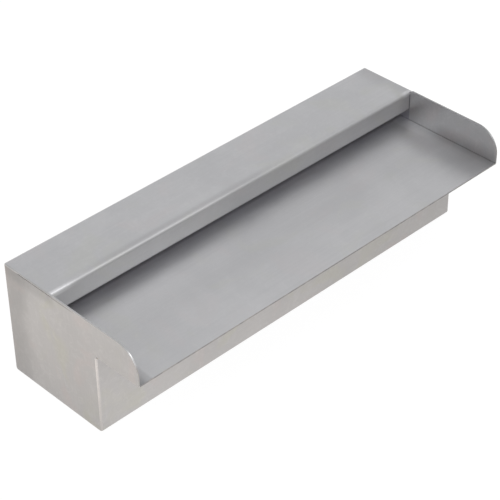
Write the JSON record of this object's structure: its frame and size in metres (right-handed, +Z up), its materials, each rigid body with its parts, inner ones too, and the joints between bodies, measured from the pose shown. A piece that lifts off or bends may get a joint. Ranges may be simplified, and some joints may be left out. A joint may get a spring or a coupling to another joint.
{
  "type": "waterfall spout",
  "caption": "Flat stainless-steel water box with a projecting spill lip between rounded end wings, an outlet slot under the cover's folded flange and a threaded inlet at the rear.",
  "frame": {"origin": "on the underside of the floor, at the middle of the spout's length and of the box's depth", "axes": "+Z up, +X along the spout's length, -Y the way the water falls off the lip"},
  "size_m": [0.45, 0.2, 0.118],
  "materials": {
    "sheet_steel": "satin brushed",
    "weld_steel": "ground weld",
    "turned_steel": "fine turned"
  },
  "bodies": {
    "root": {"body_channel": "sheet_steel", "flow_diffuser": "sheet_steel", "inlet_nipple": "turned_steel", "left_end_plate": "sheet_steel", "right_end_plate": "sheet_steel", "spill_plate": "sheet_steel", "tack_diffuser_plate_left": "weld_steel", "tack_diffuser_plate_right": "weld_steel", "tack_diffuser_wall_left": "weld_steel", "tack_diffuser_wall_right": "weld_steel", "top_cover": "sheet_steel", "weld_cover_rear": "weld_steel", "weld_inlet_inside": "weld_steel", "weld_inlet_outside": "weld_steel", "weld_left_base": "weld_steel", "weld_left_front": "weld_steel", "weld_left_lip": "weld_steel", "weld_left_rear": "weld_steel", "weld_left_top": "weld_steel", "weld_right_base": "weld_steel", "weld_right_front": "weld_steel", "weld_right_lip": "weld_steel", "weld_right_rear": "weld_steel", "weld_right_top": "weld_steel", "weld_under_lip": "weld_steel"}
  },
  "joints": []
}
